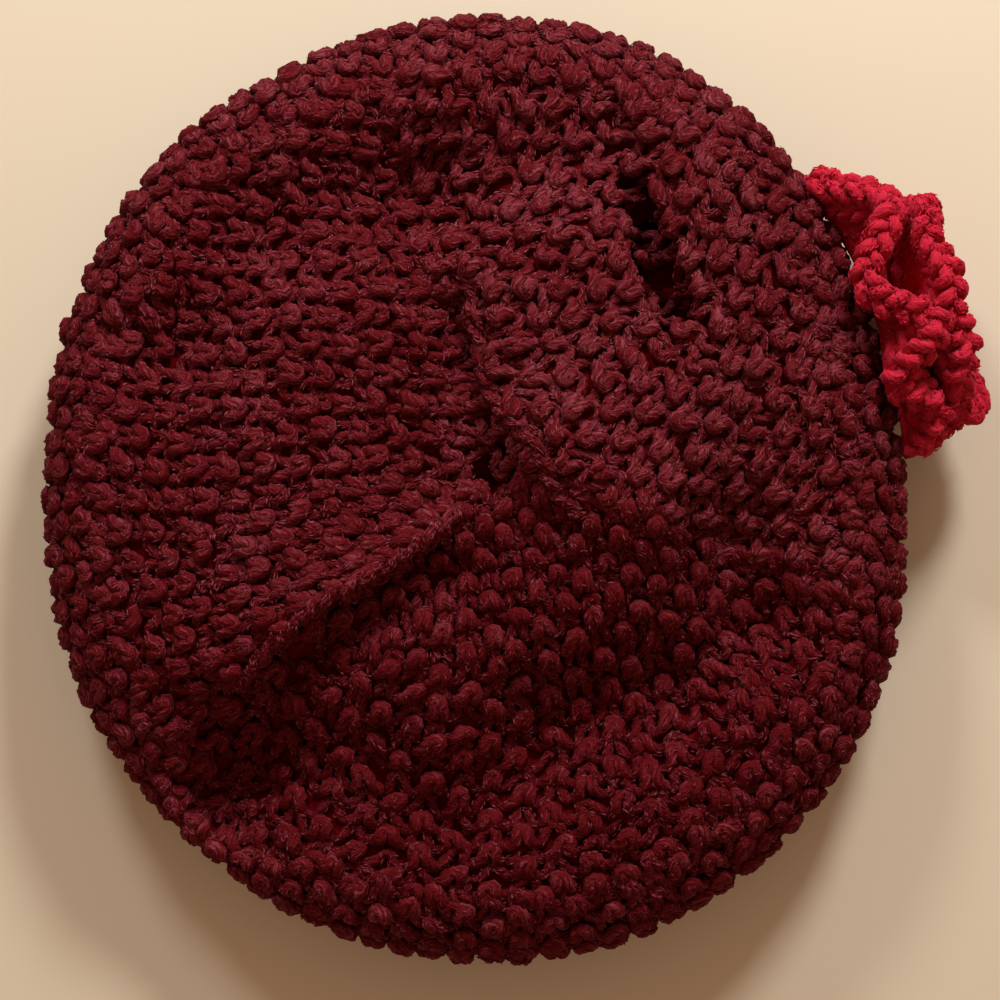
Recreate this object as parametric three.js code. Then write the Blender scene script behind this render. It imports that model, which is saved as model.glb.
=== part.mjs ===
// Slouchy seed stitch beanie with a crochet flower, lying crown up on its band. Millimetres, +Z up.

import * as THREE from 'three';

// Driving sizes
const knitWall = 6;
const pieceGap = 0.3;
const meanReach = 133;
const bandHeight = 20;
const bandReach = 0.62;
const crownColumns = 96;
const bandColumns = 38;
const foldFadeStart = 0.9;
const foldFadeEnd = 0.985;

// Plan outline of the crown, one row per compass direction: reach, and how high the roll stands there
const outline = [
  { angle: 0, reach: 125.5, loft: 0.96 },
  { angle: 22.5, reach: 126.5, loft: 0.98 },
  { angle: 45, reach: 133.5, loft: 1.03 },
  { angle: 67.5, reach: 139.5, loft: 1.05 },
  { angle: 90, reach: 140, loft: 1.03 },
  { angle: 112.5, reach: 137, loft: 1.03 },
  { angle: 135, reach: 135.5, loft: 1.02 },
  { angle: 157.5, reach: 130.5, loft: 0.97 },
  { angle: 180, reach: 127.5, loft: 0.95 },
  { angle: 202.5, reach: 131, loft: 0.91 },
  { angle: 225, reach: 133, loft: 0.77 },
  { angle: 247.5, reach: 136.5, loft: 0.76 },
  { angle: 270, reach: 139, loft: 0.8 },
  { angle: 292.5, reach: 139.5, loft: 0.82 },
  { angle: 315, reach: 136.5, loft: 0.85 },
  { angle: 337.5, reach: 131.5, loft: 0.9 },
];

// Upright section of the crown's outside, one row per station from the band round the roll to the middle
const section = [
  { reach: 0.62, height: bandHeight + pieceGap },
  { reach: 0.626, height: 23 },
  { reach: 0.647, height: 25 },
  { reach: 0.677, height: 24 },
  { reach: 0.729, height: 17.5 },
  { reach: 0.782, height: 10.5 },
  { reach: 0.835, height: 5.5 },
  { reach: 0.887, height: 3.2 },
  { reach: 0.94, height: 6 },
  { reach: 0.981, height: 14 },
  { reach: 1, height: 25 },
  { reach: 0.988, height: 35.5 },
  { reach: 0.955, height: 43.5 },
  { reach: 0.905, height: 50.6 },
  { reach: 0.845, height: 54.8 },
  { reach: 0.78, height: 57 },
  { reach: 0.715, height: 58.3 },
  { reach: 0.65, height: 59.3 },
  { reach: 0.585, height: 60.1 },
  { reach: 0.52, height: 60.7 },
  { reach: 0.455, height: 61 },
  { reach: 0.39, height: 61 },
  { reach: 0.325, height: 60.7 },
  { reach: 0.26, height: 60.1 },
  { reach: 0.195, height: 59.5 },
  { reach: 0.13, height: 58.7 },
  { reach: 0.065, height: 57.7 },
];
const middleHeight = 57;
const rollHeight = 25;

// Dents and folds of the crown's top, one row per fold: ends in plan, half width and rise
const folds = [
  { name: 'left cord', x1: 0, y1: -7, x2: -72, y2: -55, width: 8, rise: 4.5 },
  { name: 'left fold', x1: -12, y1: -25, x2: -52, y2: -55, width: 7, rise: -7.5 },
  { name: 'left fold mouth', x1: -64, y1: -77, x2: -73, y2: -89, width: 14, rise: -13 },
  { name: 'front slump', x1: -62, y1: -92, x2: -30, y2: -80, width: 22, rise: -6 },
  { name: 'left shelf', x1: -82, y1: -46, x2: -25, y2: -18, width: 15, rise: 3.5 },
  { name: 'upper fold', x1: 2, y1: 8, x2: -7, y2: 50, width: 6, rise: -7 },
  { name: 'middle eye', x1: 4, y1: -2, x2: 5, y2: 2, width: 4.5, rise: -5 },
  { name: 'right shelf', x1: 18, y1: 10, x2: 50, y2: -10, width: 15, rise: 8 },
  { name: 'right shelf back', x1: 26, y1: 24, x2: 54, y2: 15, width: 20, rise: 4.5 },
  { name: 'right bank', x1: 80, y1: 30, x2: 98, y2: 22, width: 15, rise: 4 },
  { name: 'deep slit top', x1: 38, y1: 108, x2: 42, y2: 92, width: 5, rise: -2 },
  { name: 'deep slit', x1: 47, y1: 76, x2: 55, y2: 52, width: 3.6, rise: -10 },
  { name: 'slit neck', x1: 44, y1: 86, x2: 56, y2: 47, width: 3.4, rise: -6 },
  { name: 'slit lip', x1: 56, y1: 104, x2: 76, y2: 52, width: 12, rise: 5 },
  { name: 'top trough', x1: -66, y1: 72, x2: -20, y2: 84, width: 20, rise: -11 },
  { name: 'top trough end', x1: -14, y1: 86, x2: 34, y2: 98, width: 18, rise: -9 },
  { name: 'left dimple', x1: -90, y1: 38, x2: -84, y2: 42, width: 14, rise: -9 },
  { name: 'lower hollow', x1: 22, y1: -69, x2: 54, y2: -58, width: 19, rise: -15 },
  { name: 'right hollow', x1: 70, y1: -18, x2: 79, y2: -38, width: 17, rise: -13 },
  { name: 'hollow rim', x1: 79, y1: -56, x2: 75, y2: -68, width: 9, rise: 3 },
  { name: 'front hollow', x1: -8, y1: -96, x2: 8, y2: -88, width: 15, rise: -6 },
];

// How far the knit's lines lean to run along the deep slit, one row per station of the slit
const slitLean = [
  { reach: 0.98, lean: 0 },
  { reach: 0.79, lean: 3 },
  { reach: 0.7, lean: 9 },
  { reach: 0.61, lean: 19 },
  { reach: 0.55, lean: 32 },
  { reach: 0.42, lean: 30 },
  { reach: 0.1, lean: 0 },
];
const slitAngle = 72;
const slitLeanSpread = 80;

// Flower on the side of the crown: where it sits, which way it faces
const flower = { angle: 24, faces: 18.5, tilt: 9, height: 30, tall: 0.66, hub: 9, wall: 8 };

// Petal rounds, one row per petal: direction in the round, length and half width
const backPetals = [
  { angle: 14, length: 44, spread: 34 },
  { angle: 68, length: 42, spread: 34 },
  { angle: 122, length: 40, spread: 32 },
  { angle: 172, length: 44, spread: 32 },
  { angle: 226, length: 41, spread: 34 },
  { angle: 280, length: 40, spread: 34 },
  { angle: 326, length: 40, spread: 30 },
];
const frontPetals = [
  { angle: 0, length: 26, spread: 34 },
  { angle: 48, length: 30, spread: 34 },
  { angle: 98, length: 33, spread: 34 },
  { angle: 146, length: 36, spread: 34 },
  { angle: 190, length: 40, spread: 34 },
  { angle: 240, length: 32, spread: 36 },
  { angle: 292, length: 29, spread: 36 },
  { angle: 332, length: 25, spread: 30 },
];

// Ruffles of each round's edge, one row per fold: direction in the round, and how far forward it stands
const backRuffles = [
  { angle: 16, forward: -4.5 },
  { angle: 49, forward: 12 },
  { angle: 84, forward: -3.5 },
  { angle: 109, forward: 13 },
  { angle: 130, forward: -4.5 },
  { angle: 153, forward: 5 },
  { angle: 176, forward: -5 },
  { angle: 205, forward: 8 },
  { angle: 234, forward: 7 },
  { angle: 262, forward: 10 },
  { angle: 290, forward: 8 },
  { angle: 318, forward: 10 },
];
const frontRuffles = [
  { angle: 15, forward: 8 },
  { angle: 42, forward: 12 },
  { angle: 62, forward: 9.5 },
  { angle: 90, forward: 12 },
  { angle: 108, forward: 9 },
  { angle: 124, forward: 10.5 },
  { angle: 150, forward: 4.5 },
  { angle: 176, forward: 2 },
  { angle: 205, forward: 8 },
  { angle: 240, forward: 6 },
  { angle: 270, forward: 10 },
  { angle: 300, forward: 7 },
  { angle: 330, forward: 10 },
];
const backRound = { petals: backPetals, ruffles: backRuffles, notch: 36, seat: pieceGap, cup: 1.5, twist: 9 };
const frontRound = {
  petals: frontPetals,
  ruffles: frontRuffles,
  notch: 23,
  seat: 2 * pieceGap + flower.wall,
  cup: 0.65,
  twist: 6,
};
const petalColumns = 66;
const petalSteps = [0.3, 0.55, 0.8, 1];

const radians = (degrees) => (degrees * Math.PI) / 180;

// Smooth rise from 0 to 1 between two limits
function smoothStep(low, high, value) {
  const share = Math.min(1, Math.max(0, (value - low) / (high - low)));
  return share * share * (3 - 2 * share);
}

// A column of the outline in any direction, smoothed through the table's rows
function outlineValue(column, angle) {
  const count = outline.length;
  const place = (((angle / (2 * Math.PI)) % 1) + 1) % 1 * count;
  const row = Math.floor(place);
  const share = place - row;
  const before = outline[(row + count - 1) % count][column];
  const here = outline[row % count][column];
  const next = outline[(row + 1) % count][column];
  const after = outline[(row + 2) % count][column];
  const slopeHere = (next - before) / 2;
  const slopeNext = (after - here) / 2;
  const square = share * share;
  const cube = square * share;
  return (2 * cube - 3 * square + 1) * here + (cube - 2 * square + share) * slopeHere
    + (3 * square - 2 * cube) * next + (cube - square) * slopeNext;
}

// Distance in plan from a point to a fold's line
function foldDistance(fold, x, y) {
  const alongX = fold.x2 - fold.x1;
  const alongY = fold.y2 - fold.y1;
  const span = alongX * alongX + alongY * alongY;
  const share = Math.min(1, Math.max(0, ((x - fold.x1) * alongX + (y - fold.y1) * alongY) / span));
  return Math.hypot(x - fold.x1 - share * alongX, y - fold.y1 - share * alongY);
}

// Rise of all dents and folds at a point of the crown's top
function foldRise(x, y) {
  let rise = 0;
  for (const fold of folds) {
    const distance = foldDistance(fold, x, y) / fold.width;
    rise += fold.rise * Math.exp(-distance * distance);
  }
  return rise;
}

// Inside section: the outside moved in by the thickness of the knit
function insideSection() {
  return section.map((station, index) => {
    if (index === 0) {
      return { reach: station.reach - knitWall / meanReach, height: station.height };
    }
    const before = section[index - 1];
    const after = section[Math.min(index + 1, section.length - 1)];
    const alongReach = (after.reach - before.reach) * meanReach;
    const alongHeight = after.height - before.height;
    const length = Math.hypot(alongReach, alongHeight);
    return {
      reach: station.reach - (knitWall * alongHeight) / length / meanReach,
      height: station.height + (knitWall * alongReach) / length,
    };
  });
}

// Direction of a line of knit at a station, leaning beside the deep slit
function leanAngle(reach, angle) {
  const apart = Math.atan2(Math.sin(angle - radians(slitAngle)), Math.cos(angle - radians(slitAngle)));
  const share = Math.cos((Math.min(1, Math.abs(apart) / radians(slitLeanSpread)) * Math.PI) / 2);
  const row = slitLean.findIndex((place) => place.reach <= reach);
  if (row <= 0) {
    return angle;
  }
  const upper = slitLean[row - 1];
  const lower = slitLean[row];
  const mix = (reach - lower.reach) / (upper.reach - lower.reach);
  return angle - radians(lower.lean + mix * (upper.lean - lower.lean)) * share * share;
}

// One point of the crown, folded where it is part of the top
function crownPoint(station, lineAngle, onTop) {
  const angle = onTop ? leanAngle(station.reach, lineAngle) : lineAngle;
  const reach = station.reach * outlineValue('reach', angle);
  const x = reach * Math.cos(angle);
  const y = reach * Math.sin(angle);
  if (!onTop) {
    return [x, y, station.height];
  }
  const fade = 1 - smoothStep(foldFadeStart, foldFadeEnd, station.reach);
  const nearRoll = smoothStep(0.35, 0.8, station.reach);
  const loft = 1 + nearRoll * (outlineValue('loft', angle) - 1);
  return [x, y, rollHeight + loft * (station.height - rollHeight) + fade * foldRise(x, y)];
}

// Closed mesh from a list of points and triangles
function closedMesh(name, color, points, triangles) {
  const geometry = new THREE.BufferGeometry();
  geometry.setAttribute('position', new THREE.Float32BufferAttribute(points.flat(), 3));
  geometry.setIndex(triangles.flat());
  geometry.computeVertexNormals();
  const mesh = new THREE.Mesh(geometry, new THREE.MeshStandardMaterial({ color, roughness: 0.95 }));
  mesh.name = name;
  return mesh;
}

// Distance between two points
function apartness(first, second) {
  return Math.hypot(first[0] - second[0], first[1] - second[1], first[2] - second[2]);
}

// Two triangles between neighbouring rings that run the same way round, split along the shorter diagonal
function joinRings(points, triangles, lower, upper, columns) {
  for (let column = 0; column < columns; column += 1) {
    const next = (column + 1) % columns;
    const forward = apartness(points[lower + column], points[upper + next]);
    const backward = apartness(points[lower + next], points[upper + column]);
    if (forward <= backward) {
      triangles.push([lower + column, lower + next, upper + next]);
      triangles.push([lower + column, upper + next, upper + column]);
    } else {
      triangles.push([lower + column, lower + next, upper + column]);
      triangles.push([lower + next, upper + next, upper + column]);
    }
  }
}

// The knitted bag: outside from the band to the middle, then inside back to the band
function makeCrown() {
  const points = [];
  const triangles = [];
  const inside = insideSection();
  const rollRow = section.findIndex((station) => station.reach === 1);
  const addRing = (station, onTop) => {
    const start = points.length;
    for (let column = 0; column < crownColumns; column += 1) {
      points.push(crownPoint(station, (2 * Math.PI * column) / crownColumns, onTop));
    }
    return start;
  };
  const insideRows = inside.map((station, index) => index).filter((index) => index > rollRow || index % 2 === 0);
  const outsideRings = section.map((station, index) => addRing(station, index > rollRow));
  const insideRings = insideRows.map((index) => addRing(inside[index], index > rollRow));
  for (let row = 0; row + 1 < outsideRings.length; row += 1) {
    joinRings(points, triangles, outsideRings[row], outsideRings[row + 1], crownColumns);
  }
  for (let row = 0; row + 1 < insideRings.length; row += 1) {
    joinRings(points, triangles, insideRings[row + 1], insideRings[row], crownColumns);
  }
  joinRings(points, triangles, insideRings[0], outsideRings[0], crownColumns);
  const middleRise = foldRise(0, 0);
  const outsideMiddle = points.push([0, 0, middleHeight + middleRise]) - 1;
  const insideMiddle = points.push([0, 0, middleHeight - knitWall + middleRise]) - 1;
  const lastOutside = outsideRings[outsideRings.length - 1];
  const lastInside = insideRings[insideRings.length - 1];
  for (let column = 0; column < crownColumns; column += 1) {
    const next = (column + 1) % crownColumns;
    triangles.push([lastOutside + column, lastOutside + next, outsideMiddle]);
    triangles.push([lastInside + next, lastInside + column, insideMiddle]);
  }
  return closedMesh('crown', 0x6a1622, points, triangles);
}

// The band: an upright ring with a flat foot
function makeBand() {
  const points = [];
  const triangles = [];
  const corners = [
    { reach: bandReach, height: 0 },
    { reach: bandReach, height: bandHeight },
    { reach: bandReach - knitWall / meanReach, height: bandHeight },
    { reach: bandReach - knitWall / meanReach, height: 0 },
  ];
  const rings = corners.map((corner) => {
    const start = points.length;
    for (let column = 0; column < bandColumns; column += 1) {
      points.push(crownPoint(corner, (2 * Math.PI * column) / bandColumns, false));
    }
    return start;
  });
  rings.forEach((ring, index) => {
    joinRings(points, triangles, ring, rings[(index + 1) % rings.length], bandColumns);
  });
  return closedMesh('brim_band', 0x5e131e, points, triangles);
}

// Share of a petal at a direction in its round, 1 on its middle line and 0 past its spread
function petalShare(petal, angle) {
  const apart = Math.atan2(Math.sin(angle - radians(petal.angle)), Math.cos(angle - radians(petal.angle)));
  const share = Math.min(1, Math.abs(apart) / radians(petal.spread));
  return Math.cos((share * Math.PI) / 2);
}

// How far forward the edge of a round stands in a direction, in smooth waves through the table's rows
function ruffleForward(ruffles, angle) {
  const first = ruffles[0].angle;
  const turned = ((((angle * 180) / Math.PI - first) % 360) + 360) % 360 + first;
  const row = ruffles.findLastIndex((ruffle) => ruffle.angle <= turned);
  const before = ruffles[row];
  const after = row + 1 < ruffles.length ? ruffles[row + 1] : { angle: first + 360, forward: ruffles[0].forward };
  const share = (turned - before.angle) / (after.angle - before.angle);
  return before.forward + (after.forward - before.forward) * (0.5 - 0.5 * Math.cos(share * Math.PI));
}

// One point of a petal round in the flower's own directions: along, up and forward
function petalPoint(round, angle, step, forward) {
  let length = round.notch;
  for (const petal of round.petals) {
    length = Math.max(length, round.notch + (petal.length - round.notch) * Math.sqrt(petalShare(petal, angle)));
  }
  const open = Math.max(0, (step - petalSteps[0]) / (1 - petalSteps[0]));
  const reach = flower.hub * Math.min(1, step / petalSteps[0]) + (length - flower.hub) * open;
  const leaned = angle + radians(round.twist) * (open * open - 1);
  const along = reach * Math.cos(leaned);
  const up = reach * Math.sin(leaned) * flower.tall;
  const lift = Math.pow(open, round.cup) * ruffleForward(round.ruffles, angle);
  return [along, up, round.seat + lift + forward * flower.wall];
}

// A ruffled petal round: front and back faces joined round the scalloped edge
function makePetals(name, color, round, place) {
  const points = [];
  const triangles = [];
  const addRing = (step, forward) => {
    const start = points.length;
    for (let column = 0; column < petalColumns; column += 1) {
      points.push(place(petalPoint(round, (2 * Math.PI * column) / petalColumns, step, forward)));
    }
    return start;
  };
  const backRings = petalSteps.map((step) => addRing(step, 0));
  const frontRings = petalSteps.map((step) => addRing(step, 1));
  const backMiddle = points.push(place([0, 0, round.seat])) - 1;
  const frontMiddle = points.push(place([0, 0, round.seat + flower.wall])) - 1;
  for (let row = 0; row + 1 < petalSteps.length; row += 1) {
    joinRings(points, triangles, backRings[row], backRings[row + 1], petalColumns);
    joinRings(points, triangles, frontRings[row + 1], frontRings[row], petalColumns);
  }
  joinRings(points, triangles, backRings[petalSteps.length - 1], frontRings[petalSteps.length - 1], petalColumns);
  for (let column = 0; column < petalColumns; column += 1) {
    const next = (column + 1) % petalColumns;
    triangles.push([backRings[0] + next, backRings[0] + column, backMiddle]);
    triangles.push([frontRings[0] + column, frontRings[0] + next, frontMiddle]);
  }
  return closedMesh(name, color, points, triangles);
}

// Flower directions: along the crown's side, upwards on it, and forward away from it
function flowerPlacer() {
  const faces = radians(flower.faces);
  const tilt = radians(flower.tilt);
  const forward = [Math.cos(faces) * Math.cos(tilt), Math.sin(faces) * Math.cos(tilt), Math.sin(tilt)];
  const along = [-Math.sin(faces), Math.cos(faces), 0];
  const up = [-Math.cos(faces) * Math.sin(tilt), -Math.sin(faces) * Math.sin(tilt), Math.cos(tilt)];
  const upper = section.findIndex((station) => station.reach === 1) + 1;
  const low = section[upper - 1];
  const high = section[upper];
  const share = (flower.height - low.height) / (high.height - low.height);
  const reach = (low.reach + share * (high.reach - low.reach)) * outlineValue('reach', radians(flower.angle));
  const seat = [reach * Math.cos(radians(flower.angle)), reach * Math.sin(radians(flower.angle)), flower.height];
  return (local) => seat.map((value, axis) => value + local[0] * along[axis]
    + local[1] * up[axis] + local[2] * forward[axis]);
}

const hat = new THREE.Group();
hat.name = 'slouchy_beanie';
const placeOnSide = flowerPlacer();
hat.add(makeCrown());
hat.add(makeBand());
hat.add(makePetals('flower_back_petals', 0xb5162b, backRound, placeOnSide));
hat.add(makePetals('flower_front_petals', 0xbe1a2f, frontRound, placeOnSide));

// Stand the band on the ground plane with the whole hat centred over the origin
const limits = new THREE.Box3().setFromObject(hat);
const middle = limits.getCenter(new THREE.Vector3());
for (const piece of hat.children) {
  piece.geometry.translate(-middle.x, -middle.y, -limits.min.z);
}

export default hat;
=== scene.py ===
import math

import bpy
import numpy as np
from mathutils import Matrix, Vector


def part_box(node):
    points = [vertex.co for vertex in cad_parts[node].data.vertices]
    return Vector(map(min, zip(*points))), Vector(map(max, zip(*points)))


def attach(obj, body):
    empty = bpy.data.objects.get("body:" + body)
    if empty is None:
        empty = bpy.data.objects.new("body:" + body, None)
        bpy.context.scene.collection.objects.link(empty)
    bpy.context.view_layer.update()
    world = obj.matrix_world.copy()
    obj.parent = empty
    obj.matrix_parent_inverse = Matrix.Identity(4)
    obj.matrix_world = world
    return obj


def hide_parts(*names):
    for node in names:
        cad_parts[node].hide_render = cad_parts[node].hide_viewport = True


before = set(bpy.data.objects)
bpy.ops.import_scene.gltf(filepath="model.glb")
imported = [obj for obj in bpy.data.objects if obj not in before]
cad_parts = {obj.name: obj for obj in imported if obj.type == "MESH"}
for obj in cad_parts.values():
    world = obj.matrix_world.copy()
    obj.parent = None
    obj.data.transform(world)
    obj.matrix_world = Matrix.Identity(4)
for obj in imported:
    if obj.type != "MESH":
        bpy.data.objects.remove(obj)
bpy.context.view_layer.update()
mm = 0.001
fullTurn = 2 * math.pi
draw = np.random.RandomState(11)
print("frame loaded:", sorted(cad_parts))


# small helpers for shapes

def smooth(low, high, value):
    share = np.clip((value - low) / (high - low), 0, 1)
    return share * share * (3 - 2 * share)


def unit(vectors):
    return vectors / np.maximum(np.linalg.norm(vectors, axis=-1, keepdims=True), 1e-9)


def roundTable(rows, column, angle):
    # smooth value of a table column that goes once round the hat
    values = np.array([row[column] for row in rows], float)
    place = (angle / fullTurn) % 1 * len(values)
    row = np.floor(place).astype(int)
    share = place - row
    before, here, after, last = (values[(row + step) % len(values)] for step in (-1, 0, 1, 2))
    slopeHere, slopeAfter = (after - before) / 2, (last - here) / 2
    square, cube = share ** 2, share ** 3
    return ((2 * cube - 3 * square + 1) * here + (cube - 2 * square + share) * slopeHere
            + (3 * square - 2 * cube) * after + (cube - square) * slopeAfter)


def smoothLine(points, perStep, beyond=None):
    # rounded line through a few points
    points = np.array(points, float)
    first = 2 * points[0] - points[1]
    last = 2 * points[-1] - points[-2] if beyond is None else np.array(beyond, float)
    run = np.vstack([first, points, last])
    share = np.linspace(0, 1, perStep, endpoint=False)[:, None]
    pieces = []
    for row in range(1, len(run) - 2):
        p0, p1, p2, p3 = run[row - 1:row + 3]
        pieces.append(0.5 * (2 * p1 + (p2 - p0) * share + (2 * p0 - 5 * p1 + 4 * p2 - p3) * share ** 2
                             + (3 * p1 - p0 - 3 * p2 + p3) * share ** 3))
    return np.vstack(pieces + [points[-1:]])


def lengths(points):
    return np.concatenate([[0], np.cumsum(np.linalg.norm(np.diff(points, axis=0), axis=1))])


def between(ends, share):
    return ends[0] + (ends[1] - ends[0]) * share


def roundSteps(count):
    return np.linspace(0, fullTurn, count + 1)[:-1]


def apartFromLine(x, y, line):
    # distance in plan from a short straight line
    x1, y1, x2, y2 = line
    alongX, alongY = x2 - x1, y2 - y1
    share = np.clip(((x - x1) * alongX + (y - y1) * alongY) / (alongX ** 2 + alongY ** 2), 0, 1)
    return np.hypot(x - x1 - share * alongX, y - y1 - share * alongY)


def newObject(name, data):
    made = bpy.data.objects.new(name, data)
    bpy.context.scene.collection.objects.link(made)
    return made


# the crown's form, in mm from the crown's middle: the same short tables as the solid

crown = {
    "meanReach": 133, "rollHeight": 25, "middleHeight": 57, "sectionSteps": 24, "poleGap": 0.2,
    "foldFade": (0.9, 0.985), "loftFade": (0.35, 0.8),
    # reach and loft of the outline, every 22.5 degrees from the right
    "outline": [
        (125.5, 0.96), (126.5, 0.98), (133.5, 1.03), (139.5, 1.05), (140, 1.03), (137, 1.03),
        (135.5, 1.02), (130.5, 0.97), (127.5, 0.95), (131, 0.91), (133, 0.77), (136.5, 0.76),
        (139, 0.8), (139.5, 0.82), (136.5, 0.85), (131.5, 0.9),
    ],
    # reach and height of the section, from the band over the roll to the middle
    "section": [
        (0.62, 20.3), (0.626, 23), (0.647, 25), (0.677, 24), (0.729, 17.5), (0.782, 10.5),
        (0.835, 5.5), (0.887, 3.2), (0.94, 6), (0.981, 14), (1, 25), (0.988, 35.5), (0.955, 43.5),
        (0.905, 50.6), (0.845, 54.8), (0.78, 57), (0.715, 58.3), (0.65, 59.3), (0.585, 60.1),
        (0.52, 60.7), (0.455, 61), (0.39, 61), (0.325, 60.7), (0.26, 60.1), (0.195, 59.5),
        (0.13, 58.7), (0.065, 57.7),
    ],
    # folds and dents: from x, y to x, y, width, rise
    "folds": {
        "left cord": (0, -7, -72, -55, 8, 4.5),
        "left fold": (-12, -25, -52, -55, 7, -7.5),
        "left fold mouth": (-64, -77, -73, -89, 14, -13),
        "front slump": (-62, -92, -30, -80, 22, -6),
        "left shelf": (-82, -46, -25, -18, 15, 3.5),
        "upper fold": (2, 8, -7, 50, 6, -7),
        "middle eye": (4, -2, 5, 2, 4.5, -5),
        "right shelf": (18, 10, 50, -10, 15, 8),
        "right shelf back": (26, 24, 54, 15, 20, 4.5),
        "right bank": (80, 30, 98, 22, 15, 4),
        "deep slit top": (38, 108, 42, 92, 5, -2),
        "deep slit": (47, 76, 55, 52, 3.6, -10),
        "slit neck": (44, 86, 56, 47, 3.4, -6),
        "slit lip": (56, 104, 76, 52, 12, 5),
        "top trough": (-66, 72, -20, 84, 20, -11),
        "top trough end": (-14, 86, 34, 98, 18, -9),
        "left dimple": (-90, 38, -84, 42, 14, -9),
        "lower hollow": (22, -69, 54, -58, 19, -15),
        "right hollow": (70, -18, 79, -38, 17, -13),
        "hollow rim": (79, -56, 75, -68, 9, 3),
        "front hollow": (-8, -96, 8, -88, 15, -6),
    },
}


def foldRise(x, y):
    rise = np.zeros_like(x)
    for *line, width, height in crown["folds"].values():
        rise += height * np.exp(-(apartFromLine(x, y, line) / width) ** 2)
    return rise


def outlineReach(angle):
    return roundTable(crown["outline"], 0, angle)


sectionLine = [(reach * crown["meanReach"], height) for reach, height in crown["section"]]
lastReach, lastHeight = sectionLine[-1]
sectionLine = smoothLine(sectionLine + [(0, crown["middleHeight"])], crown["sectionSteps"],
                         beyond=(-lastReach, lastHeight))
sectionAlong = lengths(sectionLine)
tableReach, tableHeight = zip(*crown["section"])
rollRow = tableReach.index(1) * crown["sectionSteps"]
lowestRow = tableHeight.index(min(tableHeight)) * crown["sectionSteps"]
rollAlong, lowestAlong, middleAlong = sectionAlong[rollRow], sectionAlong[lowestRow], sectionAlong[-1]


def reachAt(along):
    return np.interp(along, sectionAlong, sectionLine[:, 0]) / crown["meanReach"]


def crownPoint(angle, along):
    along = np.clip(along, 0, middleAlong - crown["poleGap"])
    reach = reachAt(along)
    height = np.interp(along, sectionAlong, sectionLine[:, 1])
    out = reach * outlineReach(angle)
    x, y = out * np.cos(angle), out * np.sin(angle)
    fade = 1 - smooth(*crown["foldFade"], reach)
    loft = 1 + smooth(*crown["loftFade"], reach) * (roundTable(crown["outline"], 1, angle) - 1)
    top = crown["rollHeight"] + loft * (height - crown["rollHeight"]) + fade * foldRise(x, y)
    return np.stack([x, y, np.where(along > rollAlong, top, height)], -1)


def crownFrame(angle, along):
    # point and outward direction
    turn, step = 0.006, 0.5
    point = crownPoint(angle, along)
    sideways = crownPoint(angle + turn, along) - crownPoint(angle - turn, along)
    upwards = crownPoint(angle, along + step) - crownPoint(angle, along - step)
    return point, unit(np.cross(sideways, upwards))


# place of the hat in the frame: the crown's box there against its own box here

allAngles, allAlong = np.meshgrid(roundSteps(96), np.linspace(0, middleAlong, 160))
crownHere = crownPoint(allAngles.ravel(), allAlong.ravel())
crownLow, crownHigh = (np.array(corner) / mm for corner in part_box("crown"))
shift = (crownLow + crownHigh) / 2 - (crownHere.min(0) + crownHere.max(0)) / 2
shift[2] = 0
print("hat moved in the frame by", np.round(shift, 2), "mm")


# yarn: paths with their own measures, made into plied tubes by one node tree

yarn = {
    "knotEvery": 9, "looseFat": 0.07,    # points from knot to knot, and how far the thickness strays there
    "taperFrom": 0.25, "endStep": 0.02,  # how thin an end gets, and how far its closing point lies off
    "weld": 2e-6, "bulgeScale": 750, "bulgeDetail": 3,
    "mapEdge": 0.04,                     # empty edge round each patch of the flat map
}


def newBundle():
    return {"points": [], "fat": [], "tone": []}


def addPath(bundle, points, tone=0.0, taper=0, swell=1.0):
    # tone and swell are one value or one a point; both ends thin out over taper points
    knots = np.arange(0, len(points) + yarn["knotEvery"], yarn["knotEvery"])
    loose = np.interp(np.arange(len(points)), knots, draw.normal(0, 1, len(knots)))
    fat = swell * (1 + yarn["looseFat"] * loose)
    if taper:
        ramp = np.sin(np.linspace(yarn["taperFrom"], 1, taper) * math.pi / 2)
        fat[:taper] *= ramp
        fat[-taper:] *= ramp[::-1]
    before = points[0] + (points[0] - points[1]) * yarn["endStep"]
    beyond = points[-1] + (points[-1] - points[-2]) * yarn["endStep"]
    bundle["points"].append(np.vstack([before, points, beyond]))
    bundle["fat"].append(np.concatenate([[0], fat, [0]]))
    tones = np.full(len(points), tone) if np.isscalar(tone) else tone
    bundle["tone"].append(np.concatenate([tones[:1], tones, tones[-1:]]))


def bakeStrips(runs, spare=1.002, gap=1):
    # rows of strips for a flat map of all the yarn
    longest = max(run[-1] for run in runs) * spare
    shelf, used, places = 0, 0.0, []
    for run in runs:
        if used + run[-1] > longest:
            shelf, used = shelf + 1, 0.0
        places.append((shelf, used))
        used += run[-1] + gap
    return places, shelf + 1, longest


def nodeMaker(tree):
    # short ways to add a node and a sum to a tree, with their inputs set or linked
    def node(kind, inputs=(), **settings):
        made = tree.nodes.new(kind)
        for key, value in settings.items():
            setattr(made, key, value)
        for key, value in dict(inputs).items():
            if isinstance(value, bpy.types.NodeSocket):
                tree.links.new(value, made.inputs[key])
            else:
                made.inputs[key].default_value = value
        return made

    def calc(operation, *values):
        return node("ShaderNodeMath", enumerate(values), operation=operation).outputs[0]
    return node, calc


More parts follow.
